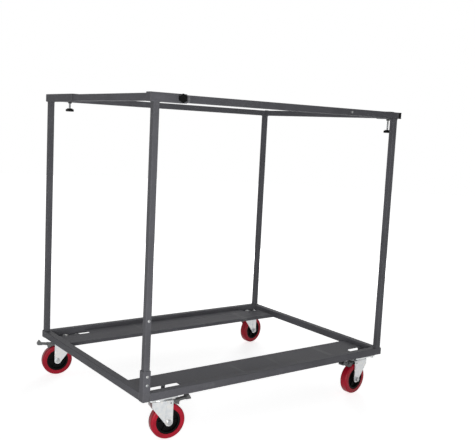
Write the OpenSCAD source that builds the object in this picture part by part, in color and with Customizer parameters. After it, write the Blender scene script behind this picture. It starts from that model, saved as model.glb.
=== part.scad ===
// Banquet table trolley: a square-tube rack on four braked swivel casters.
// Millimetres, Z up. The origin lies on the floor below the middle of the base.
// X runs along the long side, and the front long side faces -Y.

/* [Rack] */
// Distance between post centres along the long side
post_dx = 1116; // [900:1:1400]
// Distance between post centres along the short side
post_dy = 840; // [700:1:1000]
// Height of the top rails' centre line over the underside of the base
rail_h = 1000; // [700:1:1250]
// Height of the socket that holds the front left post
socket_h = 105; // [60:1:160]

/* [Tubes] */
// Side of the base tube
base_tube = 28; // [26:0.5:34]
// Wall of the base tube
base_wall = 2; // [1.5:0.1:3]
// Side of the post tube
post_tube = 22; // [18:0.5:24]
// Side of the top rail tube
rail_tube = 25; // [20:0.5:30]
// Wall of the post and rail tubes
thin_wall = 1.5; // [1:0.1:2]
// Wall of the clamp sleeves
sleeve_wall = 2; // [1.5:0.1:3]
// Room on each side of a tube that slides into another one
slide_gap = 0.5; // [0.3:0.05:1]
// Outer corner radius of the tubes
corner_r = 2.5; // [1:0.1:3]

/* [Top rails] */
// Length of the front sleeve to the left of its post's centre
front_sleeve_out = 25; // [18:1:40]
// Length of the front sleeve to the right of its post's centre
front_sleeve_in = 110; // [100:1:200]
// Distance of the front clamp screw from the post's centre
front_knob_at = 84; // [50:1:90]
// Length of the left sleeve in front of its post's centre
left_sleeve_in = 235; // [210:1:300]
// Distance of the left clamp screw from the post's centre
left_knob_at = 186; // [60:1:195]
// Length of the right sleeve behind the front rail
right_sleeve_l = 68; // [55:1:150]
// Distance of the right clamp screw from the post's centre
right_knob_at = 30; // [28:1:44]
// Distance that the front rail stands out past the right post's centre
rail_out = 33; // [32:1:60]
// Length of the cap on that end of the front rail
cap_l = 18; // [10:1:20]
// Travel of the front rail out of its sleeve
rail_travel = 130; // [125:1:160]
// Distance of the stop rivet in the front rail from the middle of the rack
stop_at = 307; // [200:1:380]

/* [Trays] */
// Height of the tray's top face over the underside of the base
tray_h = 15; // [12:0.5:22]
// Width of the tray, from the base tube inward
tray_w = 156; // [130:1:220]
// Sheet thickness of the tray
tray_t = 3; // [2:0.1:4]
// Length of the notch over a left caster, past the caster's centre
notch_l = 97; // [60:1:120]

/* [Casters] */
// Wheel diameter over the tread
wheel_d = 125; // [110:1:140]
// Width of the tread
wheel_w = 32; // [28:1:40]
// Radial thickness of the tread
tread_t = 18; // [12:0.5:20]
// Distance from the swivel axis to the axle
trail = 35; // [30:0.5:42]
// Distance of a swivel axis from the post's centre along the long side
caster_in_x = 71; // [66:1:120]
// Length of the mounting plate
plate_l = 110; // [105:1:125]
// Width of the mounting plate
plate_w = 88; // [88:1:98]
// Spacing of the plate's bolts along the long side
bolt_dx = 80; // [72:1:88]
// Spacing of the plate's bolts across it
bolt_dy = 72; // [66:1:72]
// Reach of the brake pedal from the swivel axis
pedal_reach = 118; // [112:1:130]

/* [Fasteners] */
// Diameter of the clamp screws
stud_d = 8; // [6:0.5:10]
// Diameter of the star knobs over their lobes
knob_d = 31; // [28:0.5:40]
// Thickness of the star knobs
knob_t = 12; // [9:0.5:18]
// Diameter of the axle bolts
axle_d = 10; // [8:0.5:12]
// Diameter of the caster bolts
bolt_d = 8; // [6:0.5:8]
// Radial clearance of every pin, screw and axle in its hole
fit = 0.05; // [0.02:0.01:0.1]

/* [Hidden] */
$fn = 64;
eps = 0.01;

// Heights over the floor
plate_t = 4;
tread_gap = 33;                              // plate's top face down to the tread's top
base_z = wheel_d + tread_gap;                // underside of the base
deck_z = base_z + base_tube;                 // top of the base tubes
rail_z = base_z + rail_h;                    // centre line of the top rails

// Plan
px = post_dx / 2;
py = post_dy / 2;
base_half = base_tube / 2;
rail_half = rail_tube / 2;
sleeve_tube = rail_tube + 2 * (slide_gap + sleeve_wall);
sleeve_half = sleeve_tube / 2;
post_top = rail_z - sleeve_half;
saddle_t = sleeve_half - rail_half;          // tongue between the right post and the front rail
socket_wall = (base_tube - post_tube) / 2 - slide_gap;
caster_x = px - caster_in_x;
caster_y = py + base_half - base_wall - 0.875 * bolt_d - bolt_dy / 2;
notch_y = caster_y - bolt_dy / 2 - bolt_d / 2;
boss_r = bolt_d / 2 + 3;

// Front rail and its guide
rail_x0 = -px - front_sleeve_out + sleeve_wall + 6;
rail_x1 = px + rail_out - cap_l;
guide_r = 4;
cap_plug = 8;

// Clamp screws
stud_r = stud_d / 2;
nut_h = 6.5;
nut_r = stud_d * 0.94;
pad_t = sleeve_wall;

// Caster, from the swivel axis, with heights below the plate's top face
wheel_r = wheel_d / 2;
axle_z = -tread_gap - wheel_r;
axle_r = axle_d / 2;
sheet = 3;
side_gap = 3;
fork_in = wheel_w / 2 + side_gap;            // half width inside the fork
fork_out = fork_in + sheet;
crown_z = -16;                               // top of the fork's crown
king_r = 6;
race_r = 24;
leg_r = axle_r + 9;                          // rounded end of a fork leg
rib_t = 1.5;                                 // height of the strip pressed out of a leg
pivot_x = trail + 5;
pivot_z = crown_z - 11;
pin_r = 2.5;
pedal_t = 2.5;
brake_turn = 8;                              // turn of the pedal that sets its shoe on the tread
core_r = wheel_r - tread_t;
hub_half = fork_in - 0.5;

// Corners: front left, front right, rear left, rear right, as signs of X and Y
FL = [-1, -1];
FR = [1, -1];
RL = [-1, 1];
RR = [1, 1];
corners = [FL, FR, RL, RR];
// Swivel angle of each caster as the trolley stands, from +X
swivel = [-10, 187, 170, 10];

paint = "#45474b";
zinc = "#c9ccd0";
black = "#1a1a1c";
red = "#a3152b";

// Square with rounded corners, centred
module rounded_square(side, r) {
    square([side - 2 * r, side], center = true);
    square([side, side - 2 * r], center = true);
    for (x = [-1, 1], y = [-1, 1])
        translate([x * (side / 2 - r), y * (side / 2 - r)])
            circle(r);
}

// Square tube along +Z from the origin; closed holds the ends that are welded shut
module tube(side, wall, length, closed = [0, 0]) {
    linear_extrude(length)
        difference() {
            rounded_square(side, corner_r);
            rounded_square(side - 2 * wall, max(corner_r - wall, 0.5));
        }
    if (closed[0] == 1)
        linear_extrude(wall)
            square(side - 2 * wall + 2 * eps, center = true);
    if (closed[1] == 1)
        translate([0, 0, length - wall])
            linear_extrude(wall)
                square(side - 2 * wall + 2 * eps, center = true);
}

module tube_x(x0, x1, y, z, side, wall, closed = [0, 0]) {
    translate([x0, y, z])
        rotate([0, 90, 0])
            tube(side, wall, x1 - x0, closed);
}

module tube_y(y0, y1, x, z, side, wall, closed = [0, 0]) {
    translate([x, y0, z])
        rotate([-90, 0, 0])
            tube(side, wall, y1 - y0, closed);
}

// Places a caster's pieces on a corner; the plate keeps the rack's direction
module at_caster(c, angle = 0) {
    translate([c[0] * caster_x, c[1] * caster_y, base_z])
        rotate([0, 0, angle])
            children();
}

// Upright bores for the caster bolts of one long side
module bolt_bores(side, z0, z1) {
    for (c = corners, x = [-1, 1], y = [-1, 1])
        if (c[1] == side)
            translate([c[0] * caster_x + x * bolt_dx / 2, c[1] * caster_y + y * bolt_dy / 2, z0])
                cylinder(r = bolt_d / 2 + fit, h = z1 - z0);
}

// Base frame: the rear tube runs past both corners, the front one starts at the socket
module base_rail_front() {
    color(paint)
        difference() {
            tube_x(-px + base_half, px + base_half, -py, base_z + base_half, base_tube, base_wall, [0, 1]);
            bolt_bores(-1, base_z - 1, base_z + base_wall + 1);
        }
}

module base_rail_rear() {
    color(paint)
        difference() {
            tube_x(-px - base_half, px + base_half, py, base_z + base_half, base_tube, base_wall, [1, 1]);
            bolt_bores(1, base_z - 1, base_z + base_wall + 1);
        }
}

module base_rail_left() {
    color(paint)
        tube_y(-py + base_half, py - base_half, -px, base_z + base_half, base_tube, base_wall);
}

module base_rail_right() {
    color(paint)
        tube_y(-py + base_half, py - base_half, px, base_z + base_half, base_tube, base_wall);
}

// Heights of the two screws that lock the post in its socket, and of the one above
lock_z = [base_z + 0.55 * socket_h, base_z + 0.83 * socket_h];
high_z = base_z + 0.275 * rail_h;
lock_r = 2.5;

module screw_bores(heights) {
    for (z = heights)
        translate([-px, -py, z])
            rotate([90, 0, 0])
                cylinder(r = lock_r + fit, h = base_tube);
}

module post_socket() {
    color(paint)
        difference() {
            translate([-px, -py, base_z])
                tube(base_tube, socket_wall, socket_h, [1, 0]);
            screw_bores(lock_z);
        }
}

// Pan-head screws; each one holds in the post's own wall
module socket_screws() {
    color(zinc) {
        for (z = lock_z)
            translate([-px, -py - base_half, z])
                pan_screw(base_half - post_tube / 2 + thin_wall + 4);
        translate([-px, -py - post_tube / 2, high_z])
            pan_screw(thin_wall + 4);
    }
}

// Screw along +Y from the face that it is driven into
module pan_screw(length) {
    rotate([90, 0, 0])
        rotate_extrude()
            polygon([[0, -length], [lock_r, -length], [lock_r, 0], [5, 0], [4.6, 1.8], [3, 2.8], [0, 3]]);
}

// Folded sheet tray along one long side, notched over the casters
module tray(side) {
    inner = py - base_half - tray_w;
    mirror([0, side < 0 ? 1 : 0, 0])
        translate([0, 0, base_z])
            difference() {
                union() {
                    translate([-px + base_half, inner, tray_h - tray_t])
                        cube([post_dx - base_tube, tray_w, tray_t]);
                    translate([-px + base_half, inner, 0])
                        cube([post_dx - base_tube, tray_t, tray_h]);
                }
                for (s = [-1, 1])
                    tray_notch(s);
            }
}

// Notch over one caster; round ears are left in it over the bosses
module tray_notch(s) {
    reach = s < 0 ? notch_l : bolt_dx / 2;
    difference() {
        translate([s * (px - base_half), 0, 0])
            mirror([s > 0 ? 1 : 0, 0, 0])
                translate([-1, notch_y, -1])
                    cube([caster_in_x - base_half + reach + 1, py, tray_h + 2]);
        for (x = [-1, 1])
            translate([s * caster_x + x * bolt_dx / 2, caster_y - bolt_dy / 2, -2])
                cylinder(r = boss_r + 1, h = tray_h + 4);
    }
}

module tray_front() {
    color(paint)
        tray(-1);
}

module tray_rear() {
    color(paint)
        tray(1);
}

// Tapped bosses welded under the trays for the inner bolts of the casters
module caster_bosses() {
    boss_h = tray_h - tray_t;
    color(paint)
        difference() {
            for (c = corners, x = [-1, 1])
                translate([c[0] * caster_x + x * bolt_dx / 2, c[1] * (caster_y - bolt_dy / 2), base_z])
                    cylinder(r = boss_r, h = boss_h);
            for (s = [-1, 1])
                bolt_bores(s, base_z - 1, base_z + boss_h - 2);
        }
}

module post(c, z0, z1) {
    translate([c[0] * px, c[1] * py, z0])
        tube(post_tube, thin_wall, z1 - z0);
}

module post_front_left() {
    color(paint)
        difference() {
            post(FL, base_z + socket_wall, post_top);
            screw_bores([lock_z[0], lock_z[1], high_z]);
        }
}

module post_front_right() {
    color(paint)
        post(FR, deck_z, post_top);
}

module post_rear_left() {
    color(paint)
        post(RL, deck_z, post_top);
}

module post_rear_right() {
    color(paint)
        post(RR, deck_z, rail_z - rail_half);
}

// Clamp screw axes: a point on the rail's face, and the turn that points +Z outward
module at_front_clamp() {
    translate([-px + front_knob_at, -py - rail_half, rail_z])
        rotate([90, 0, 0])
            children();
}

module at_left_clamp() {
    translate([-px, py - left_knob_at, rail_z - rail_half])
        rotate([180, 0, 0])
            children();
}

module at_right_clamp() {
    translate([px, -py + right_knob_at, rail_z - rail_half])
        rotate([180, 0, 0])
            children();
}

module clamp_bore() {
    cylinder(r = stud_r + fit, h = 2 * sleeve_wall);
}

module sleeve_front() {
    color(paint)
        difference() {
            tube_x(-px - front_sleeve_out, -px + front_sleeve_in, -py, rail_z, sleeve_tube, sleeve_wall, [1, 0]);
            at_front_clamp()
                clamp_bore();
        }
}

module sleeve_left() {
    color(paint)
        difference() {
            tube_y(py - left_sleeve_in, py + sleeve_half + saddle_t, -px, rail_z, sleeve_tube, sleeve_wall, [0, 1]);
            at_left_clamp()
                clamp_bore();
        }
}

// The tongue under this sleeve rests on the post and carries the end of the front rail
module sleeve_right() {
    back = -py + rail_half + slide_gap;
    color(paint)
        difference() {
            union() {
                tube_y(back, back + right_sleeve_l, px, rail_z, sleeve_tube, sleeve_wall);
                translate([px - post_tube / 2, -py - post_tube / 2, post_top])
                    cube([post_tube, post_tube / 2 + rail_half + slide_gap + 1, saddle_t]);
            }
            at_right_clamp()
                clamp_bore();
            translate([px, -py, post_top - 1])
                cylinder(r = guide_r + fit, h = saddle_t + 2);
        }
}

// Loose rail: slides out of the front sleeve along the slot over its guide pin
module rail_front() {
    color(paint)
        difference() {
            tube_x(rail_x0, rail_x1, -py, rail_z, rail_tube, thin_wall);
            translate([px - rail_travel, -py, rail_z - rail_tube])
                linear_extrude(rail_tube)
                    guide_slot();
            translate([stop_at, -py, rail_z])
                rotate([90, 0, 0])
                    cylinder(r = 2.4 + fit, h = rail_tube);
        }
}

module guide_slot() {
    r = guide_r + slide_gap;
    circle(r);
    translate([0, -r])
        square([rail_travel, 2 * r]);
    translate([rail_travel, 0])
        circle(r);
}

module rail_guide() {
    color(zinc)
        translate([px, -py, post_top])
            rotate_extrude()
                polygon([
                    [0, 0], [guide_r, 0], [guide_r, saddle_t + 8],
                    [guide_r - 1, saddle_t + 9], [0, saddle_t + 9]
                ]);
}

module rail_stop() {
    color(zinc)
        translate([stop_at, -py - rail_half, rail_z])
            rotate([90, 0, 0])
                rotate_extrude()
                    polygon([[0, -thin_wall - 2], [2.4, -thin_wall - 2], [2.4, 0], [4.8, 0], [4, 1.3], [2, 2], [0, 2]]);
}

// Moulded cap: a head with rounded end edges and a plug in the rail
module rail_cap() {
    color(black)
        translate([rail_x1, -py, rail_z])
            rotate([0, 90, 0]) {
                intersection() {
                    linear_extrude(cap_l)
                        rounded_square(rail_tube, corner_r);
                    cap_through(0);
                    cap_through(90);
                }
                translate([0, 0, -cap_plug])
                    linear_extrude(cap_plug + eps)
                        rounded_square(rail_tube - 2 * thin_wall - 0.4, 1);
            }
}

module cap_through(turn) {
    rotate([90, 0, turn])
        translate([0, 0, -rail_tube])
            linear_extrude(2 * rail_tube)
                cap_side();
}

module cap_side() {
    r = 5;
    translate([-rail_half, 0])
        square([rail_tube, cap_l - r]);
    translate([-rail_half + r, 0])
        square([rail_tube - 2 * r, cap_l]);
    for (x = [-1, 1])
        translate([x * (rail_half - r), cap_l - r])
            circle(r);
}

module rail_rear() {
    color(paint)
        tube_x(-px + sleeve_half, px + rail_half + 1, py, rail_z, rail_tube, thin_wall, [0, 1]);
}

module rail_left() {
    color(paint)
        tube_y(-py + sleeve_half, py - left_knob_at + 2.4 * rail_tube, -px, rail_z, rail_tube, thin_wall);
}

module rail_right() {
    color(paint)
        tube_y(-py + rail_half + slide_gap + 2, py - rail_half, px, rail_z, rail_tube, thin_wall);
}

// Clamp screw parts, along +Z from the rail's face
module clamp_nut() {
    translate([0, 0, slide_gap + sleeve_wall])
        difference() {
            cylinder(r = nut_r, h = nut_h, $fn = 6);
            translate([0, 0, -1])
                cylinder(r = stud_r + fit, h = nut_h + 2);
        }
}

module clamp_nuts() {
    color(zinc) {
        at_front_clamp()
            clamp_nut();
        at_left_clamp()
            clamp_nut();
        at_right_clamp()
            clamp_nut();
    }
}

module clamp_pad() {
    color(black)
        translate([0, 0, 0.1])
            cylinder(r = stud_r, h = pad_t);
}

module clamp_stud(reach) {
    color(zinc)
        translate([0, 0, pad_t + 0.15])
            cylinder(r = stud_r, h = reach + knob_t - 3 - pad_t);
}

// Six-lobed knob whose boss starts at the given reach
module star_knob(reach) {
    lobe_r = knob_d * 0.135;
    lobe_at = knob_d / 2 - lobe_r;
    color(black)
        translate([0, 0, reach])
            difference() {
                union() {
                    cylinder(r1 = knob_d * 0.24, r2 = knob_d * 0.3, h = knob_t * 0.35);
                    translate([0, 0, knob_t * 0.25])
                        linear_extrude(knob_t * 0.75)
                            difference() {
                                union() {
                                    circle(lobe_at);
                                    for (a = [30 : 60 : 330])
                                        rotate(a)
                                            translate([lobe_at, 0])
                                                circle(lobe_r);
                                }
                                for (a = [0 : 60 : 300])
                                    rotate(a)
                                        translate([lobe_at + lobe_r * 0.75, 0])
                                            circle(lobe_r * 0.95);
                            }
                }
                translate([0, 0, -1])
                    cylinder(r = stud_r + fit, h = knob_t - 1.8);
            }
}

// Reach of each screw from the rail's face to its knob
front_reach = 11;
left_reach = 28;
right_reach = 47;

module pad_front() {
    at_front_clamp()
        clamp_pad();
}

module pad_left() {
    at_left_clamp()
        clamp_pad();
}

module pad_right() {
    at_right_clamp()
        clamp_pad();
}

module stud_front() {
    at_front_clamp()
        clamp_stud(front_reach);
}

module stud_left() {
    at_left_clamp()
        clamp_stud(left_reach);
}

module stud_right() {
    at_right_clamp()
        clamp_stud(right_reach);
}

module knob_front() {
    at_front_clamp()
        star_knob(front_reach);
}

module knob_left() {
    at_left_clamp()
        star_knob(left_reach);
}

module knob_right() {
    at_right_clamp()
        star_knob(right_reach);
}

// Hexagon bolt along +Z with its head below the origin
module hex_bolt(r, length) {
    translate([0, 0, -1.3 * r])
        cylinder(r = 1.85 * r, h = 1.3 * r, $fn = 6);
    cylinder(r = r, h = length);
}

// Nut on a bolt, against a seat above the origin
module hex_nut(r, seat) {
    translate([0, 0, seat])
        cylinder(r = 1.85 * r, h = 1.5 * r, $fn = 6);
}

// Outer bolts are nutted inside the base tube, inner ones end in their bosses
module caster_bolts() {
    r = bolt_d / 2;
    color(zinc)
        for (c = corners, x = [-1, 1], y = [-1, 1])
            translate([
                c[0] * caster_x + x * bolt_dx / 2,
                c[1] * caster_y + y * bolt_dy / 2,
                base_z - plate_t
            ])
                if (y == c[1]) {
                    hex_bolt(r, plate_t + base_wall + 1.5 * r + 2);
                    hex_nut(r, plate_t + base_wall);
                } else {
                    hex_bolt(r, plate_t + tray_h - tray_t - 3);
                }
}

// Swivel plate with its pressed upper race and the king bolt riveted into it
module caster_plate() {
    color(zinc)
        difference() {
            union() {
                translate([0, 0, -plate_t])
                    linear_extrude(plate_t)
                        rounded_plate(plate_l, plate_w, 8);
                rotate_extrude()
                    polygon([
                        [king_r - 1, -plate_t], [race_r + 3, -plate_t], [race_r + 2, -7.5],
                        [race_r - 1, -9], [king_r - 1, -9]
                    ]);
                king_bolt();
            }
            for (x = [-1, 1], y = [-1, 1])
                translate([x * bolt_dx / 2, y * bolt_dy / 2, -plate_t - 1])
                    cylinder(r = bolt_d / 2 + fit, h = plate_t + 2);
        }
}

module rounded_plate(l, w, r) {
    square([l - 2 * r, w], center = true);
    square([l, w - 2 * r], center = true);
    for (x = [-1, 1], y = [-1, 1])
        translate([x * (l / 2 - r), y * (w / 2 - r)])
            circle(r);
}

module king_bolt() {
    translate([0, 0, -eps])
        cylinder(r = 10.5, h = 9, $fn = 6);
    translate([0, 0, crown_z - sheet - 2])
        cylinder(r = king_r, h = 15 - crown_z);
    translate([0, 0, crown_z - sheet - 5])
        cylinder(r = 11, h = 4.9);
}

// Pressed fork: a sheet folded over the wheel, trimmed to the slanted leg outline
module fork() {
    color(zinc)
        difference() {
            union() {
                intersection() {
                    translate([-race_r - 10, 0, 0])
                        rotate([90, 0, 90])
                            linear_extrude(race_r + trail + leg_r + 20)
                                fold_section();
                    rotate([90, 0, 0])
                        translate([0, 0, -2 * fork_out])
                            linear_extrude(4 * fork_out)
                                leg_outline();
                }
                lower_race();
                for (s = [-1, 1])
                    leg_pressing(s);
            }
            translate([0, 0, crown_z - sheet - 1])
                cylinder(r = king_r + fit, h = 20);
            translate([trail, 0, axle_z])
                rotate([90, 0, 0])
                    cylinder(r = axle_r + fit, h = 4 * fork_out, center = true);
            translate([pivot_x, 0, pivot_z])
                rotate([90, 0, 0])
                    cylinder(r = pin_r + fit, h = 4 * fork_out, center = true);
        }
}

// Cross-section of the folded sheet, with Y to the right and Z up
module fold_section() {
    depth = crown_z - axle_z + leg_r + 10;
    difference() {
        fold_shape(fork_out, depth, 7);
        translate([0, -sheet])
            fold_shape(fork_in, depth, 4);
    }
}

module fold_shape(half, depth, r) {
    translate([-half, crown_z - depth])
        square([2 * half, depth - r]);
    translate([-half + r, crown_z - r - eps])
        square([2 * (half - r), r + eps]);
    for (s = [-1, 1])
        translate([s * (half - r), crown_z - r])
            circle(r);
}

// Side outline of a leg: slanted leading edge, upright trailing edge, round end
module leg_outline() {
    polygon([
        [-race_r - 3, crown_z + 1], [trail + leg_r, crown_z + 1],
        [trail + leg_r, axle_z], [trail - leg_r * 0.9, axle_z - leg_r * 0.4],
        [-race_r - 3, pivot_z - 12]
    ]);
    translate([trail, axle_z])
        circle(leg_r);
}

// Strip pressed out along the upright edge of each leg, round at the axle
module leg_pressing(s) {
    half = leg_r - 1.5;
    translate([0, s * (fork_out - eps), 0])
        rotate([90, 0, 0])
            translate([trail, axle_z, s > 0 ? -rib_t : 0])
                linear_extrude(rib_t) {
                    circle(half);
                    translate([-half, 0])
                        square([2 * half, crown_z - 7 - axle_z]);
                }
}

module lower_race() {
    rotate_extrude()
        polygon([
            [king_r + 3, crown_z - eps], [race_r + 2, crown_z - eps], [race_r + 1, -12],
            [race_r - 2, -10], [king_r + 3, -10]
        ]);
}

// Axle bolt through the fork legs and the hub, with its nut
module axle() {
    reach = fork_out + rib_t;
    color(zinc)
        translate([trail, -reach, axle_z])
            rotate([-90, 0, 0]) {
                hex_bolt(axle_r, 2 * reach + 1.5 * axle_r + 2);
                hex_nut(axle_r, 2 * reach);
            }
}

// Moulded core: hub, web, ribs and rim
module core() {
    color(black)
        translate([trail, 0, axle_z])
            rotate([90, 0, 0])
                difference() {
                    union() {
                        cylinder(r = axle_r + 10, h = 2 * hub_half, center = true);
                        cylinder(r = core_r - 4, h = wheel_w * 0.3, center = true);
                        difference() {
                            cylinder(r = core_r, h = wheel_w * 0.9, center = true);
                            cylinder(r = core_r - 7, h = wheel_w, center = true);
                        }
                        for (a = [0 : 60 : 300])
                            rotate(a)
                                translate([axle_r + 8, -1.5, -wheel_w * 0.3])
                                    cube([core_r - axle_r - 13, 3, wheel_w * 0.6]);
                    }
                    cylinder(r = axle_r + fit, h = 4 * fork_out, center = true);
                }
}

// Cast tyre with a crowned running face
module tread() {
    crown = 7;
    color(red)
        translate([trail, 0, axle_z])
            rotate([90, 0, 0])
                rotate_extrude() {
                    translate([core_r + fit, -wheel_w / 2])
                        square([tread_t - crown - fit, wheel_w]);
                    translate([wheel_r - crown - eps, -wheel_w / 2 + crown])
                        square([crown + eps, wheel_w - 2 * crown]);
                    for (s = [-1, 1])
                        translate([wheel_r - crown, s * (wheel_w / 2 - crown)])
                            circle(crown);
                }
}

// Brake pedal: a pressed channel on a pin through the fork's legs, with a shoe over the tread
module pedal() {
    color(zinc) {
        translate([pivot_x, 0, pivot_z])
            rotate([90, 0, 0]) {
                cylinder(r = pin_r + 2, h = 2 * fork_in - 2, center = true);
                cylinder(r = pin_r, h = 2 * (fork_out + rib_t) + 1, center = true);
            }
        difference() {
            lever(0);
            lever(pedal_t);
        }
        rotate([90, 0, 0])
            translate([0, 0, -pedal_half])
                linear_extrude(2 * pedal_half)
                    shoe_side();
    }
}

// Lever between its side and plan outlines, inset by a wall on every face but the lower one
module lever(wall) {
    intersection() {
        rotate([90, 0, 0])
            translate([0, -wall, -fork_in])
                linear_extrude(2 * fork_in)
                    lever_side();
        translate([0, 0, axle_z])
            linear_extrude(2 * wheel_d)
                lever_plan(wall);
    }
}

module lever_side() {
    polygon([
        [pivot_x - 1, pivot_z + 4], [pivot_x + 22, pivot_z + 4], [pedal_reach - 18, pivot_z + 9],
        [pedal_reach - 11, pivot_z + 18], [pedal_reach - 7, pivot_z + 18], [pedal_reach, pivot_z + 7],
        [pedal_reach, pivot_z + 2], [pedal_reach - 18, pivot_z + 1], [pivot_x + 24, pivot_z - 4],
        [pivot_x - 1, pivot_z - 4]
    ]);
}

// Place, before the pedal is pressed, of a point of the shoe that will rest on the tread
// at an angle from straight up over the axle
shoe_gap = 0.2;
function on_tread(a) = [
    trail - pivot_x + (wheel_r + shoe_gap) * sin(a),
    axle_z - pivot_z + (wheel_r + shoe_gap) * cos(a)
];
function lifted(v) = [
    pivot_x + v[0] * cos(brake_turn) - v[1] * sin(brake_turn),
    pivot_z + v[0] * sin(brake_turn) + v[1] * cos(brake_turn)
];
shoe = [lifted(on_tread(24)), lifted(on_tread(30)), lifted(on_tread(36))];
pedal_half = 0.42 * wheel_w;

module shoe_side() {
    polygon([[shoe[0][0], pivot_z + 2], shoe[0], shoe[1], shoe[2], [shoe[2][0], pivot_z + 2]]);
}

module lever_plan(wall) {
    translate([pivot_x - 2, -pedal_half + wall])
        square([shoe[2][0] - pivot_x + 2 + pedal_t - wall, 2 * (pedal_half - wall)]);
    translate([pivot_x + 20, -8 + wall])
        square([pedal_reach - pivot_x - 30, 16 - 2 * wall]);
    translate([pedal_reach - 18 + wall, -12 + wall])
        square([18 - 2 * wall, 24 - 2 * wall]);
}

base_rail_front();
base_rail_rear();
base_rail_left();
base_rail_right();
post_socket();
tray_front();
tray_rear();
caster_bosses();
post_front_left();
post_front_right();
post_rear_left();
post_rear_right();
sleeve_front();
sleeve_left();
sleeve_right();
rail_front();
rail_rear();
rail_left();
rail_right();
rail_cap();
rail_stop();
rail_guide();
clamp_nuts();
pad_front();
pad_left();
pad_right();
stud_front();
stud_left();
stud_right();
knob_front();
knob_left();
knob_right();
socket_screws();
caster_bolts();
at_caster(FL) caster_plate();  // plate_fl
at_caster(FR) caster_plate();  // plate_fr
at_caster(RL) caster_plate();  // plate_rl
at_caster(RR) caster_plate();  // plate_rr
at_caster(FL, swivel[0]) fork();  // fork_fl
at_caster(FR, swivel[1]) fork();  // fork_fr
at_caster(RL, swivel[2]) fork();  // fork_rl
at_caster(RR, swivel[3]) fork();  // fork_rr
at_caster(FL, swivel[0]) axle();  // axle_fl
at_caster(FR, swivel[1]) axle();  // axle_fr
at_caster(RL, swivel[2]) axle();  // axle_rl
at_caster(RR, swivel[3]) axle();  // axle_rr
at_caster(FL, swivel[0]) core();  // core_fl
at_caster(FR, swivel[1]) core();  // core_fr
at_caster(RL, swivel[2]) core();  // core_rl
at_caster(RR, swivel[3]) core();  // core_rr
at_caster(FL, swivel[0]) tread();  // tread_fl
at_caster(FR, swivel[1]) tread();  // tread_fr
at_caster(RL, swivel[2]) tread();  // tread_rl
at_caster(RR, swivel[3]) tread();  // tread_rr
at_caster(FL, swivel[0]) pedal();  // pedal_fl
at_caster(FR, swivel[1]) pedal();  // pedal_fr
at_caster(RL, swivel[2]) pedal();  // pedal_rl
at_caster(RR, swivel[3]) pedal();  // pedal_rr
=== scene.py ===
import math
import bpy
from mathutils import Matrix, Vector


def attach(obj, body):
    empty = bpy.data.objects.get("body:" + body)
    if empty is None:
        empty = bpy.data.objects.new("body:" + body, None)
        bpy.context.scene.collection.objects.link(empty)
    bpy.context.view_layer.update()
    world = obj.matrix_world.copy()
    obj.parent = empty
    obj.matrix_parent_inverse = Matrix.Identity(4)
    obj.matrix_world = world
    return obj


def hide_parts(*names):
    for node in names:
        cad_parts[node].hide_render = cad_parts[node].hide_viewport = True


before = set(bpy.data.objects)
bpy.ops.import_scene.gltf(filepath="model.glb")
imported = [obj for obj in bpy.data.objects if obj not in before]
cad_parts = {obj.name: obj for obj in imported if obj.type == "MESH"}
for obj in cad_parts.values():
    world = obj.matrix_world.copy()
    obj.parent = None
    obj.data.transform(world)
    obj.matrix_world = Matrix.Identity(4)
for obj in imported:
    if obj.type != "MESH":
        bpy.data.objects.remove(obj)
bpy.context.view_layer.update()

bpy.context.scene.view_settings.view_transform = "Standard"

# Camera: stands off the front left corner, about a metre up, a little rolled.
# The lens is given for a 36 mm wide sensor and a frame of 475 by 440.
eye = Vector((-1.7314, -2.4490, 1.0655))
turn, tilt, roll = math.radians(-36.872), math.radians(6.999), math.radians(2.916)
back = Vector((math.sin(turn) * math.cos(tilt), -math.cos(turn) * math.cos(tilt), math.sin(tilt)))
level = Vector((math.cos(turn), math.sin(turn), 0.0))
upward = back.cross(level)
right = level * math.cos(roll) + upward * math.sin(roll)
upward = upward * math.cos(roll) - level * math.sin(roll)
lens = bpy.data.cameras.new("photo_lens")
lens.sensor_width = 36.0
lens.lens = 55.196
camera = bpy.data.objects.new("photo_camera", lens)
bpy.context.scene.collection.objects.link(camera)
camera.matrix_world = Matrix((
    (right.x, upward.x, back.x, eye.x),
    (right.y, upward.y, back.y, eye.y),
    (right.z, upward.z, back.z, eye.z),
    (0.0, 0.0, 0.0, 1.0),
))
bpy.context.scene.camera = camera


# Base frame: four lengths of 28 mm square steel tube, butted into a rectangle and MIG welded.
# The whole rack is powder coated in charcoal grey after welding, which leaves a fine
# orange-peel grain, small changes of gloss, and pale rubs and worn edges from handling.
def start_finish(name, roughness, metallic):
    material = bpy.data.materials.new(name)
    material.use_nodes = True
    shader = material.node_tree.nodes["Principled BSDF"]
    shader.inputs["Roughness"].default_value = roughness
    shader.inputs["Metallic"].default_value = metallic
    place = material.node_tree.nodes.new("ShaderNodeTexCoord")
    return material, shader, place.outputs["Object"]


def add_noise(material, place, scale, detail, stretch=(1.0, 1.0, 1.0)):
    mapping = material.node_tree.nodes.new("ShaderNodeMapping")
    mapping.inputs["Scale"].default_value = stretch
    noise = material.node_tree.nodes.new("ShaderNodeTexNoise")
    noise.inputs["Scale"].default_value = scale
    noise.inputs["Detail"].default_value = detail
    material.node_tree.links.new(place, mapping.inputs["Vector"])
    material.node_tree.links.new(mapping.outputs["Vector"], noise.inputs["Vector"])
    return noise.outputs["Fac"]


def add_ramp(material, value, stops):
    ramp = material.node_tree.nodes.new("ShaderNodeValToRGB")
    while len(ramp.color_ramp.elements) < len(stops):
        ramp.color_ramp.elements.new(0.5)
    for element, (at, colour) in zip(ramp.color_ramp.elements, stops):
        element.position = at
        element.color = (*colour, 1.0)
    material.node_tree.links.new(value, ramp.inputs["Fac"])
    return ramp.outputs["Color"]


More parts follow.
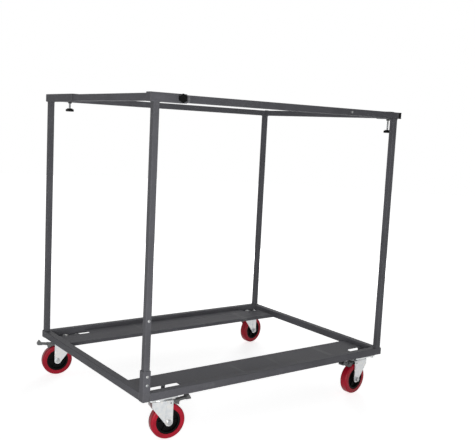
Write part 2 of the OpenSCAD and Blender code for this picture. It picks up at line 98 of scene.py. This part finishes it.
def add_mix(material, amount, under, over):
    mix = material.node_tree.nodes.new("ShaderNodeMix")
    mix.data_type = "RGBA"
    material.node_tree.links.new(amount, mix.inputs["Factor"])
    for socket, colour in ((mix.inputs["A"], under), (mix.inputs["B"], over)):
        if isinstance(colour, tuple):
            socket.default_value = (*colour, 1.0)
        else:
            material.node_tree.links.new(colour, socket)
    return mix.outputs["Result"]


def add_bump(material, shader, height, strength, distance):
    bump = material.node_tree.nodes.new("ShaderNodeBump")
    bump.inputs["Strength"].default_value = strength
    bump.inputs["Distance"].default_value = distance
    material.node_tree.links.new(height, bump.inputs["Height"])
    material.node_tree.links.new(bump.outputs["Normal"], shader.inputs["Normal"])


def add_edges(material, reach):
    bevel = material.node_tree.nodes.new("ShaderNodeBevel")
    bevel.samples = 6
    bevel.inputs["Radius"].default_value = reach
    surface = material.node_tree.nodes.new("ShaderNodeNewGeometry")
    turned = material.node_tree.nodes.new("ShaderNodeVectorMath")
    turned.operation = "DOT_PRODUCT"
    material.node_tree.links.new(bevel.outputs["Normal"], turned.inputs[0])
    material.node_tree.links.new(surface.outputs["Normal"], turned.inputs[1])
    return add_ramp(material, turned.outputs["Value"], ((0.82, (1.0, 1.0, 1.0)), (0.99, (0.0, 0.0, 0.0))))


def add_product(material, first, second):
    product = material.node_tree.nodes.new("ShaderNodeMath")
    product.operation = "MULTIPLY"
    material.node_tree.links.new(first, product.inputs[0])
    material.node_tree.links.new(second, product.inputs[1])
    return product.outputs[0]


def charcoal_coat(name, rub_from, rub_stretch, shade=1.0):
    material, shader, place = start_finish(name, 0.46, 0.0)
    shader.inputs["Specular IOR Level"].default_value = 0.06
    links = material.node_tree.links
    cloud = add_noise(material, place, 7.0, 4.0)
    deep = (0.096 * shade, 0.096 * shade, 0.105 * shade)
    pale = (0.128 * shade, 0.128 * shade, 0.141 * shade)
    coat = add_ramp(material, cloud, ((0.3, deep), (0.7, pale)))
    speck = add_noise(material, place, 900.0, 2.0)
    flecks = add_ramp(material, speck, ((0.52, (0.0, 0.0, 0.0)), (0.7, (0.5, 0.5, 0.5))))
    coat = add_mix(material, flecks, coat, (0.05, 0.05, 0.053))
    rub = add_noise(material, place, 26.0, 8.0, rub_stretch)
    rubbed = add_ramp(material, rub, ((rub_from, (0.0, 0.0, 0.0)), (rub_from + 0.12, (0.45, 0.45, 0.45))))
    coat = add_mix(material, rubbed, coat, (0.2, 0.2, 0.206))
    chafe = add_ramp(material, add_noise(material, place, 55.0, 6.0), (
        (0.4, (0.12, 0.12, 0.12)), (0.66, (0.8, 0.8, 0.8))))
    paled = add_product(material, add_edges(material, 0.003), chafe)
    links.new(add_mix(material, paled, coat, (0.23, 0.23, 0.236)), shader.inputs["Base Color"])
    gloss = add_ramp(material, cloud, ((0.25, (0.4, 0.4, 0.4)), (0.75, (0.54, 0.54, 0.54))))
    links.new(gloss, shader.inputs["Roughness"])
    add_bump(material, shader, add_noise(material, place, 620.0, 2.0), 0.22, 0.0004)
    return material


def finish_nodes(material, *names):
    for name in names:
        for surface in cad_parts[name].material_slots:
            surface.material = material


tube_coat = charcoal_coat("charcoal_tube_coat", 0.66, (1.0, 1.0, 1.0))
finish_nodes(tube_coat, "base_rail_front", "base_rail_rear", "base_rail_left", "base_rail_right")


# Weld beads: each butt of two tubes carries a short fillet bead with the ripples of a hand MIG gun,
# under the same coat. One bead of each length is shaped, and copies go along the seams.
def only(piece):
    bpy.ops.object.select_all(action="DESELECT")
    piece.select_set(True)
    bpy.context.view_layer.objects.active = piece
    return piece


def pick(piece, kind, wanted):
    bpy.ops.object.mode_set(mode="EDIT")
    bpy.ops.mesh.select_mode(type=kind)
    bpy.ops.mesh.select_all(action="DESELECT")
    bpy.ops.object.mode_set(mode="OBJECT")
    mesh = piece.data
    for part in {"VERT": mesh.vertices, "EDGE": mesh.edges, "FACE": mesh.polygons}[kind]:
        part.select = wanted(part)
    bpy.ops.object.mode_set(mode="EDIT")


bead_radius, ripple_pitch = 0.0021, 0.0009


def weld_bead(length):
    bpy.ops.object.select_all(action="DESELECT")
    bpy.ops.mesh.primitive_cylinder_add(vertices=10, radius=bead_radius, depth=length)
    bead = bpy.context.object
    at = lambda index: bead.data.vertices[index].co
    pick(bead, "EDGE", lambda edge: abs(at(edge.vertices[0]).z - at(edge.vertices[1]).z) > length / 2)
    ripples = int(length / ripple_pitch)
    bpy.ops.mesh.subdivide(number_cuts=ripples)
    step = length / (ripples + 1)
    ring = lambda vert: round((vert.co.z + length / 2) / step)
    pick(bead, "VERT", lambda vert: ring(vert) % 2 == 1)
    bpy.ops.transform.resize(value=(0.84, 0.84, 1.0))
    pick(bead, "VERT", lambda vert: ring(vert) in (0, ripples + 1))
    bpy.ops.transform.resize(value=(0.5, 0.5, 1.0))
    bpy.ops.object.mode_set(mode="OBJECT")
    bpy.ops.object.shade_smooth()
    return bead


def lay_beads(name, seams):
    shaped = {}
    laid = []
    for start, end in seams:
        start, end = Vector(start), Vector(end)
        length = round((end - start).length, 4)
        if length not in shaped:
            shaped[length] = weld_bead(length)
        bead = shaped[length].copy()
        bead.data = shaped[length].data.copy()
        bpy.context.scene.collection.objects.link(bead)
        facing = (end - start).to_track_quat("Z", "Y").to_matrix().to_4x4()
        bead.matrix_world = Matrix.Translation((start + end) / 2) @ facing
        laid.append(bead)
    for pattern in shaped.values():
        bpy.data.objects.remove(pattern)
    only(laid[0])
    for bead in laid:
        bead.select_set(True)
    bpy.ops.object.join()
    bpy.ops.object.transform_apply(location=True, rotation=True, scale=True)
    welds = bpy.context.object
    welds.name = name
    welds.data.materials.clear()
    welds.data.materials.append(tube_coat)
    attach(welds, "frame")


post_x, post_y = 0.558, 0.42
base_half, base_low, base_top = 0.014, 0.158, 0.186
seam_inset = 0.001
corner_x, corner_y = post_x - base_half, post_y - base_half
seams = [
    ((-corner_x, seam_inset - post_y - base_half, base_top), (-corner_x, -corner_y - seam_inset, base_top)),
    ((seam_inset - post_x - base_half, -corner_y, base_top), (-corner_x - seam_inset, -corner_y, base_top)),
]
for x, y in ((-corner_x, -corner_y), (corner_x, -corner_y), (-corner_x, corner_y), (corner_x, corner_y)):
    seams.append(((x, y, base_low + seam_inset), (x, y, base_top - seam_inset)))
lay_beads("base_corner_welds", seams)

# Post socket: an upright stub of tube at the front left corner, coated with the frame, that holds
# the front left post. Two zinc pan-head screws lock the post, and a third is in the post above.
finish_nodes(tube_coat, "post_socket")


def zinc_plate(name, roughness, tone):
    material, shader, place = start_finish(name, roughness, 0.9)
    links = material.node_tree.links
    spangle = add_noise(material, place, 90.0, 3.0)
    plate = add_ramp(material, spangle, (
        (0.3, (0.88 * tone, 0.92 * tone, 0.95 * tone)),
        (0.52, (tone, 1.02 * tone, 1.03 * tone)),
        (0.72, (1.08 * tone, 1.06 * tone, 1.0 * tone))))
    links.new(plate, shader.inputs["Base Color"])
    haze = add_noise(material, place, 240.0, 6.0, (1.0, 1.0, 0.25))
    links.new(add_ramp(material, haze, (
        (0.3, (roughness - 0.08,) * 3), (0.7, (roughness + 0.1,) * 3))), shader.inputs["Roughness"])
    add_bump(material, shader, haze, 0.06, 0.0003)
    return material


bright_zinc = zinc_plate("bright_zinc", 0.36, 0.4)

shank_radius, shank_length = 0.0025, 0.006
bpy.ops.object.select_all(action="DESELECT")
bpy.ops.mesh.primitive_cylinder_add(
    vertices=32, radius=shank_radius, depth=shank_length, location=(0.0, 0.0, -shank_length / 2))
screw = bpy.context.object
bpy.ops.object.transform_apply(location=True)
pick(screw, "FACE", lambda face: face.normal.z > 0.9)
bpy.ops.mesh.extrude_region_move(TRANSFORM_OT_translate={"value": (0.0, 0.0, 0.0001)})
bpy.ops.transform.resize(value=(2.0, 2.0, 1.0))
for rise, shrink in ((0.0011, 0.99), (0.0007, 0.93), (0.0006, 0.82), (0.0003, 0.6)):
    bpy.ops.mesh.extrude_region_move(TRANSFORM_OT_translate={"value": (0.0, 0.0, rise)})
    bpy.ops.transform.resize(value=(shrink, shrink, 1.0))
bpy.ops.object.mode_set(mode="OBJECT")
bpy.ops.object.select_all(action="DESELECT")
cross_length, cross_width = 0.0046, 0.001
cross_middle, cross_height = 0.003, 0.0028
blades = []
for width, depth in ((cross_length, cross_width), (cross_width, cross_length)):
    bpy.ops.mesh.primitive_cube_add(size=1.0, location=(0.0, 0.0, cross_middle))
    bpy.ops.transform.resize(value=(width, depth, cross_height))
    blades.append(bpy.context.object)
for blade in blades:
    only(blade)
    bpy.ops.object.transform_apply(location=True, scale=True)
    recess = screw.modifiers.new("recess", "BOOLEAN")
    recess.operation = "DIFFERENCE"
    recess.solver = "EXACT"
    recess.object = blade
    only(screw)
    bpy.ops.object.modifier_apply(modifier="recess")
    bpy.data.objects.remove(blade)
bpy.ops.object.shade_smooth_by_angle(angle=math.radians(35))
outward = Matrix.Rotation(math.radians(90), 4, "X")
post_half = 0.011
socket_face, post_face = -post_y - base_half, -post_y - post_half
screws = []
for height, face in ((0.21575, socket_face), (0.24515, socket_face), (0.433, post_face)):
    copy = screw.copy()
    copy.data = screw.data.copy()
    bpy.context.scene.collection.objects.link(copy)
    copy.matrix_world = Matrix.Translation((-post_x, face, height)) @ outward
    screws.append(copy)
bpy.data.objects.remove(screw)
only(screws[0])
for copy in screws:
    copy.select_set(True)
bpy.ops.object.join()
bpy.ops.object.transform_apply(location=True, rotation=True, scale=True)
screws = bpy.context.object
screws.name = "socket_pan_screws"
screws.data.materials.append(bright_zinc)
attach(screws, "frame")
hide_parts("socket_screws")

# Trays: two 3 mm sheets folded down along their inner edge, let in between the base tubes and held
# by stitch welds. Their coat is rubbed in streaks across the trolley.
tray_coat = charcoal_coat("charcoal_tray_coat", 0.58, (1.0, 0.12, 1.0))
finish_nodes(tray_coat, "tray_front", "tray_rear", "caster_bosses")
tray_top, stitch_half = 0.173, 0.013
stitches = []
for y in (-corner_y, corner_y):
    for middle in (-0.36, -0.2, 0.0, 0.2, 0.36):
        stitches.append(((middle - stitch_half, y, tray_top), (middle + stitch_half, y, tray_top)))
    for x in (-corner_x, corner_x):
        for inward in (0.275, 0.325):
            middle = math.copysign(inward, y)
            stitches.append(((x, middle - stitch_half, tray_top), (x, middle + stitch_half, tray_top)))
lay_beads("tray_stitch_welds", stitches)

# Posts: 22 mm square tube. The front left one drops into its socket, and the other three
# are welded to the base all round their feet.
finish_nodes(tube_coat, "post_front_left", "post_front_right", "post_rear_left", "post_rear_right")


def round_square(x, y, z, half):
    reach = half - seam_inset
    return [
        ((x - reach, y - half, z), (x + reach, y - half, z)),
        ((x - reach, y + half, z), (x + reach, y + half, z)),
        ((x - half, y - reach, z), (x - half, y + reach, z)),
        ((x + half, y - reach, z), (x + half, y + reach, z)),
    ]


lay_beads("post_foot_welds", (
    round_square(post_x, -post_y, base_top, post_half)
    + round_square(-post_x, post_y, base_top, post_half)
    + round_square(post_x, post_y, base_top, post_half)))

# Top rails and clamp sleeves: 25 mm rails that run into 30 mm sleeves. The sleeves, the rear rail
# and the tongue on the front right post are welded on. The front rail is loose. Its coat is the same
# charcoal coat painted a little darker, as painted shade, with a narrow pale ring painted at the mouth of
# its sleeve.
finish_nodes(tube_coat, "sleeve_front", "sleeve_left", "sleeve_right")
finish_nodes(tube_coat, "rail_rear", "rail_left", "rail_right")


# Paints a narrow pale ring, patchy with noise, on the coat between two positions along X.
def pale_ring(material, start, end):
    tree = material.node_tree
    shader = tree.nodes["Principled BSDF"]
    place = tree.nodes["Texture Coordinate"].outputs["Object"]
    split = tree.nodes.new("ShaderNodeSeparateXYZ")
    along = tree.nodes.new("ShaderNodeMapRange")
    along.inputs["From Min"].default_value = start
    along.inputs["From Max"].default_value = end
    tree.links.new(place, split.inputs[0])
    tree.links.new(split.outputs["X"], along.inputs["Value"])
    ring = add_ramp(material, along.outputs["Result"], (
        (0.0, (0.0, 0.0, 0.0)), (0.3, (0.8, 0.8, 0.8)), (0.6, (0.6, 0.6, 0.6)), (1.0, (0.0, 0.0, 0.0))))
    patchy = add_ramp(material, add_noise(material, place, 120.0, 5.0), (
        (0.35, (0.4, 0.4, 0.4)), (0.6, (1.0, 1.0, 1.0))))
    coat = shader.inputs["Base Color"].links[0].from_socket
    paled = add_mix(material, add_product(material, ring, patchy), coat, (0.28, 0.28, 0.286))
    tree.links.new(paled, shader.inputs["Base Color"])


sleeve_mouth, ring_width = -0.444, 0.01
# The front rail's coat is the charcoal coat darkened to 0.82, as painted shade.
rail_coat_painted_shade = charcoal_coat("charcoal_rail_coat", 0.66, (1.0, 1.0, 1.0), 0.82)
pale_ring(rail_coat_painted_shade, sleeve_mouth, sleeve_mouth + ring_width)
finish_nodes(rail_coat_painted_shade, "rail_front")
rail_z, rail_half, sleeve_half = 1.158, 0.0125, 0.015
rail_low, sleeve_low = rail_z - rail_half, rail_z - sleeve_half
lay_beads("post_head_welds", (
    round_square(-post_x, -post_y, sleeve_low, post_half)
    + round_square(-post_x, post_y, sleeve_low, post_half)
    + round_square(post_x, post_y, rail_low, post_half)
    + round_square(post_x, -post_y, sleeve_low, post_half)))


def ring_on_y(x, y):
    reach = rail_half - seam_inset
    return [
        ((x - reach, y, rail_low), (x + reach, y, rail_low)),
        ((x - reach, y, rail_z + rail_half), (x + reach, y, rail_z + rail_half)),
        ((x - rail_half, y, rail_z - reach), (x - rail_half, y, rail_z + reach)),
        ((x + rail_half, y, rail_z - reach), (x + rail_half, y, rail_z + reach)),
    ]


def ring_on_x(x, y):
    turned = ring_on_y(y, x)
    return [((a[1], a[0], a[2]), (b[1], b[0], b[2])) for a, b in turned]


lay_beads("rail_end_welds", (
    ring_on_y(-post_x, sleeve_half - post_y)
    + ring_on_y(post_x, post_y - rail_half)
    + ring_on_x(sleeve_half - post_x, post_y)))

# Rail fittings: a turned pin on the right post that the front rail's slot rides on, bright zinc,
# and a domed stop rivet in the rail's face, whose plating has gone greyer.
finish_nodes(bright_zinc, "rail_guide")
finish_nodes(zinc_plate("rivet_zinc", 0.5, 0.25), "rail_stop")


# End cap: a moulded plug of black polyethylene pressed into the open end of the front rail,
# with a rounded head as wide as the tube.
def black_moulding(name, shade, roughness, grain):
    material, shader, place = start_finish(name, roughness, 0.0)
    shader.inputs["Specular IOR Level"].default_value = 0.08
    links = material.node_tree.links
    cloud = add_noise(material, place, 40.0, 4.0)
    tint = add_ramp(material, cloud, (
        (0.3, (shade * 0.8,) * 3), (0.7, (shade * 1.3, shade * 1.3, shade * 1.4))))
    links.new(tint, shader.inputs["Base Color"])
    links.new(add_ramp(material, cloud, (
        (0.3, (roughness - 0.06,) * 3), (0.7, (roughness + 0.08,) * 3))), shader.inputs["Roughness"])
    add_bump(material, shader, add_noise(material, place, grain, 3.0), 0.12, 0.0003)
    return material


cap_black = black_moulding("cap_polyethylene", 0.003, 0.6, 900.0)
rail_end, cap_end = 0.573, 0.591
corner_round, head_round = 0.0025, 0.0045
plug_length, plug_inset = 0.008, 0.0017
bpy.ops.object.select_all(action="DESELECT")
bpy.ops.mesh.primitive_cube_add(size=1.0, location=((rail_end + cap_end) / 2, -post_y, rail_z))
cap = bpy.context.object
cap.name = "rail_end_cap"
bpy.ops.transform.resize(value=(cap_end - rail_end, 2 * rail_half, 2 * rail_half))
bpy.ops.object.transform_apply(location=True, scale=True)
pick(cap, "EDGE", lambda edge: abs(
    cap.data.vertices[edge.vertices[0]].co.x - cap.data.vertices[edge.vertices[1]].co.x) > 0.002)
bpy.ops.mesh.bevel(offset=corner_round, segments=4, affect="EDGES")
bpy.ops.object.mode_set(mode="OBJECT")
pick(cap, "FACE", lambda face: face.normal.x > 0.9)
bpy.ops.mesh.bevel(offset=head_round, segments=6, affect="EDGES")
bpy.ops.object.mode_set(mode="OBJECT")
pick(cap, "FACE", lambda face: face.normal.x < -0.9)
bpy.ops.mesh.inset(thickness=plug_inset)
bpy.ops.mesh.extrude_region_move(TRANSFORM_OT_translate={"value": (-plug_length, 0.0, 0.0)})
bpy.ops.object.mode_set(mode="OBJECT")
bpy.ops.object.shade_smooth_by_angle(angle=math.radians(40))
cap.data.materials.append(cap_black)
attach(cap, "front_rail")
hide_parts("rail_cap")

# Clamp screws: zinc M8 studs that run in nuts welded to the sleeves and push a plastic pad
# against the rail. The thread is a real helix of 1.25 mm pitch, cut square at both ends.
# The nuts' zinc is painted near black, as painted shade under the rails.
finish_nodes(zinc_plate("weld_nut_plating_painted_shade", 0.55, 0.06), "clamp_nuts")
finish_nodes(cap_black, "pad_front", "pad_left", "pad_right")
pitch, root_radius, crest_radius = 0.00125, 0.00338, 0.004
flank = (
    (root_radius, 0.0), (root_radius, 0.0002),
    (crest_radius, 0.00058), (crest_radius, 0.00075), (root_radius, pitch))
pad_seat, knob_depth = 0.00215, 0.00915
front_clamp_x, left_clamp_y, right_clamp_y = -0.474, 0.234, -0.39
downward = Matrix.Rotation(math.pi, 4, "X")
clamps = {
    "front": (Matrix.Translation((front_clamp_x, -post_y - rail_half, rail_z)) @ outward, 0.011),
    "left": (Matrix.Translation((-post_x, left_clamp_y, rail_low)) @ downward, 0.028),
    "right": (Matrix.Translation((post_x, right_clamp_y, rail_low)) @ downward, 0.047),
}
for side, (seat, reach) in clamps.items():
    low_end, high_end = pad_seat, reach + knob_depth
    bpy.ops.object.select_all(action="DESELECT")
    bpy.ops.mesh.primitive_grid_add(x_subdivisions=4, y_subdivisions=1, size=0.001)
    stud = bpy.context.object
    stud.name = "stud_thread_" + side
    pick(stud, "VERT", lambda vert: vert.co.y > 0.0)
    bpy.ops.mesh.delete(type="VERT")
    bpy.ops.object.mode_set(mode="OBJECT")
    chain = sorted(stud.data.vertices, key=lambda vert: vert.co.x)
    for vert, (radius, height) in zip(chain, flank):
        vert.co = (radius, 0.0, low_end - pitch + height)
    helix = stud.modifiers.new("helix", "SCREW")
    helix.axis = "Z"
    helix.angle = math.tau
    helix.screw_offset = pitch
    helix.iterations = int((high_end - low_end) / pitch) + 3
    helix.steps = 20
    helix.render_steps = 20
    bpy.ops.object.modifier_apply(modifier="helix")
    bpy.ops.object.mode_set(mode="EDIT")
    bpy.ops.mesh.select_all(action="SELECT")
    bpy.ops.mesh.remove_doubles(threshold=0.00001)
    for end, facing in ((low_end, -1.0), (high_end, 1.0)):
        bpy.ops.mesh.select_all(action="SELECT")
        bpy.ops.mesh.bisect(
            plane_co=(0.0, 0.0, end), plane_no=(0.0, 0.0, facing), clear_outer=True, use_fill=True)
    bpy.ops.mesh.select_all(action="SELECT")
    bpy.ops.mesh.normals_make_consistent(inside=False)
    bpy.ops.object.mode_set(mode="OBJECT")
    stud.matrix_world = seat
    bpy.ops.object.transform_apply(location=True, rotation=True, scale=True)
    bpy.ops.object.shade_smooth_by_angle(angle=math.radians(50))
    stud.data.materials.append(bright_zinc)
    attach(stud, "clamp_" + side)
    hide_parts("stud_" + side)

# Star knobs: six-lobed grips of black glass-filled nylon moulded over the studs' ends,
# each with a short boss towards the sleeve and a shallow dished face.
knob_black = black_moulding("knob_nylon", 0.003, 0.5, 700.0)
knob_radius, knob_height = 0.0155, 0.012
grip_radius, grip_height, grip_middle = 0.0172, 0.009, 0.0075
rim, dish_depth, boss_length = 0.0012, 0.0008, 0.0028
bpy.ops.object.select_all(action="DESELECT")
bpy.ops.mesh.primitive_cylinder_add(
    vertices=12, radius=grip_radius, depth=grip_height, location=(0.0, 0.0, grip_middle))
pattern = bpy.context.object
bpy.ops.object.transform_apply(location=True)
pick(pattern, "VERT", lambda vert: round(math.degrees(math.atan2(vert.co.y, vert.co.x)) / 30) % 2 == 0)
bpy.ops.transform.resize(value=(0.66, 0.66, 1.0), center_override=(0.0, 0.0, grip_middle))
bpy.ops.object.mode_set(mode="OBJECT")
pick(pattern, "FACE", lambda face: face.normal.z > 0.9)
bpy.ops.mesh.inset(thickness=rim)
bpy.ops.mesh.inset(thickness=0.0042, depth=-0.0002)
bpy.ops.mesh.inset(thickness=rim, depth=-dish_depth)
bpy.ops.object.mode_set(mode="OBJECT")
pick(pattern, "FACE", lambda face: face.normal.z < -0.9)
bpy.ops.mesh.inset(thickness=rim)
bpy.ops.mesh.inset(thickness=0.0022)
bpy.ops.mesh.extrude_region_move(TRANSFORM_OT_translate={"value": (0.0, 0.0, -boss_length)})
bpy.ops.mesh.inset(thickness=0.0008)
bpy.ops.object.mode_set(mode="OBJECT")
rounding = pattern.modifiers.new("rounding", "SUBSURF")
rounding.levels = 3
rounding.render_levels = 3
bpy.ops.object.modifier_apply(modifier="rounding")
bpy.ops.object.shade_smooth()
across = max(math.hypot(vert.co.x, vert.co.y) for vert in pattern.data.vertices)
bottom = min(vert.co.z for vert in pattern.data.vertices)
top = max(vert.co.z for vert in pattern.data.vertices)
true_size = Matrix.Diagonal((knob_radius / across, knob_radius / across, knob_height / (top - bottom), 1.0))
for side, (seat, reach) in clamps.items():
    knob = pattern.copy()
    knob.data = pattern.data.copy()
    bpy.context.scene.collection.objects.link(knob)
    knob.name = "star_knob_" + side
    raised = Matrix.Translation((0.0, 0.0, reach)) @ true_size
    knob.matrix_world = seat @ raised @ Matrix.Translation((0.0, 0.0, -bottom))
    only(knob)
    bpy.ops.object.transform_apply(location=True, rotation=True, scale=True)
    knob.data.materials.append(knob_black)
    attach(knob, "clamp_" + side)
    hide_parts("knob_" + side)
bpy.data.objects.remove(pattern)

# Caster tops: pressed steel plates with their ball race and king bolt, the folded forks, the axle
# bolts and the plate bolts, bright zinc plated. The brake pedals' zinc is rougher and painted darker, as
# painted shade of the base above them.
pressed_zinc = zinc_plate("pressed_zinc", 0.36, 0.6)
shaded_pedal_plating = zinc_plate("pedal_plating_painted_shade", 0.5, 0.1)
corners = ("fl", "fr", "rl", "rr")
finish_nodes(bright_zinc, "caster_bolts", *("axle_" + corner for corner in corners))
finish_nodes(pressed_zinc, *(kind + corner for kind in ("plate_", "fork_") for corner in corners))
finish_nodes(shaded_pedal_plating, *("pedal_" + corner for corner in corners))

# Wheel cores: black polypropylene mouldings with a ribbed web between hub and rim.
core_black = black_moulding("core_polypropylene", 0.0015, 0.55, 500.0)
finish_nodes(core_black, *("core_" + corner for corner in corners))

# Treads: deep red polyurethane cast on to the cores, satin, a little darker and duller
# where the running face picks up dirt from the floor.
tread_red, shader, place = start_finish("tread_polyurethane", 0.36, 0.0)
shader.inputs["Specular IOR Level"].default_value = 0.2
cloud = add_noise(tread_red, place, 30.0, 5.0)
cast = add_ramp(tread_red, cloud, ((0.3, (0.28, 0.004, 0.015)), (0.7, (0.41, 0.008, 0.026))))
dirt = add_ramp(tread_red, add_noise(tread_red, place, 140.0, 8.0), (
    (0.58, (0.0, 0.0, 0.0)), (0.75, (0.5, 0.5, 0.5))))
soiled = add_mix(tread_red, dirt, cast, (0.12, 0.014, 0.016))
tread_red.node_tree.links.new(soiled, shader.inputs["Base Color"])
tread_red.node_tree.links.new(add_ramp(tread_red, cloud, (
    (0.3, (0.3, 0.3, 0.3)), (0.7, (0.46, 0.46, 0.46)))), shader.inputs["Roughness"])
add_bump(tread_red, shader, add_noise(tread_red, place, 420.0, 4.0), 0.08, 0.0003)
finish_nodes(tread_red, *("tread_" + corner for corner in corners))


# Studio: a wide white paper floor that keeps the trolley's soft shadow and runs out into a white
# backdrop, a soft lamp close to the front left corner and a weaker one behind on the right.
def shown_rays(tree):
    seen = tree.nodes.new("ShaderNodeLightPath")
    shown = seen.outputs["Is Camera Ray"]
    for ray in ("Is Glossy Ray", "Is Transmission Ray"):
        either = tree.nodes.new("ShaderNodeMath")
        either.operation = "MAXIMUM"
        tree.links.new(shown, either.inputs[0])
        tree.links.new(seen.outputs[ray], either.inputs[1])
        shown = either.outputs[0]
    return shown


bpy.ops.object.select_all(action="DESELECT")
bpy.ops.mesh.primitive_circle_add(vertices=96, radius=12.0, fill_type="NGON", location=(0.0, 0.0, -0.0006))
floor = bpy.context.object
floor.name = "studio_floor"
bpy.ops.object.transform_apply(location=True)
floor_white = bpy.data.materials.new("floor_white")
floor_white.use_nodes = True
tree = floor_white.node_tree
tree.nodes.clear()
paper = tree.nodes.new("ShaderNodeBsdfDiffuse")
paper.inputs["Color"].default_value = (0.86, 0.86, 0.86, 1.0)
spot = tree.nodes.new("ShaderNodeTexCoord")
away = tree.nodes.new("ShaderNodeVectorMath")
away.operation = "LENGTH"
runout = tree.nodes.new("ShaderNodeMapRange")
runout.interpolation_type = "SMOOTHSTEP"
runout.inputs["From Min"].default_value = 0.8
runout.inputs["From Max"].default_value = 2.6
runout.inputs["To Min"].default_value = 0.74
runout.inputs["To Max"].default_value = 1.0
fade = tree.nodes.new("ShaderNodeMath")
fade.operation = "MULTIPLY"
glow = tree.nodes.new("ShaderNodeEmission")
both = tree.nodes.new("ShaderNodeAddShader")
sheet = tree.nodes.new("ShaderNodeOutputMaterial")
tree.links.new(spot.outputs["Object"], away.inputs[0])
tree.links.new(away.outputs["Value"], runout.inputs["Value"])
tree.links.new(shown_rays(tree), fade.inputs[0])
tree.links.new(runout.outputs["Result"], fade.inputs[1])
tree.links.new(fade.outputs[0], glow.inputs["Strength"])
tree.links.new(paper.outputs[0], both.inputs[0])
tree.links.new(glow.outputs[0], both.inputs[1])
tree.links.new(both.outputs[0], sheet.inputs["Surface"])
floor.data.materials.append(floor_white)

world = bpy.data.worlds.new("studio_white")
bpy.context.scene.world = world
world.use_nodes = True
tree = world.node_tree
tree.nodes.clear()
dome = tree.nodes.new("ShaderNodeBackground")
dome.inputs["Color"].default_value = (1.0, 1.0, 1.0, 1.0)
strength = tree.nodes.new("ShaderNodeMapRange")
strength.inputs["To Min"].default_value = 0.22
strength.inputs["To Max"].default_value = 1.0
sky = tree.nodes.new("ShaderNodeOutputWorld")
tree.links.new(shown_rays(tree), strength.inputs["Value"])
tree.links.new(strength.outputs["Result"], dome.inputs["Strength"])
tree.links.new(dome.outputs[0], sky.inputs["Surface"])


def soft_lamp(name, size, power, place, target):
    lamp = bpy.data.lights.new(name, "AREA")
    lamp.shape = "SQUARE"
    lamp.size = size
    lamp.energy = power
    holder = bpy.data.objects.new(name, lamp)
    bpy.context.scene.collection.objects.link(holder)
    aim = Vector(target) - Vector(place)
    holder.matrix_world = Matrix.Translation(place) @ aim.to_track_quat("-Z", "Y").to_matrix().to_4x4()
    return holder


soft_lamp("front_softbox", 1.2, 55.0, (-1.8, -2.5, 0.5), (-0.3, -0.2, 0.5))
rear_softbox = soft_lamp("rear_softbox", 1.6, 48.0, (2.4, 2.6, 0.9), (0.0, 0.0, 0.5))
rear_softbox.visible_glossy = False
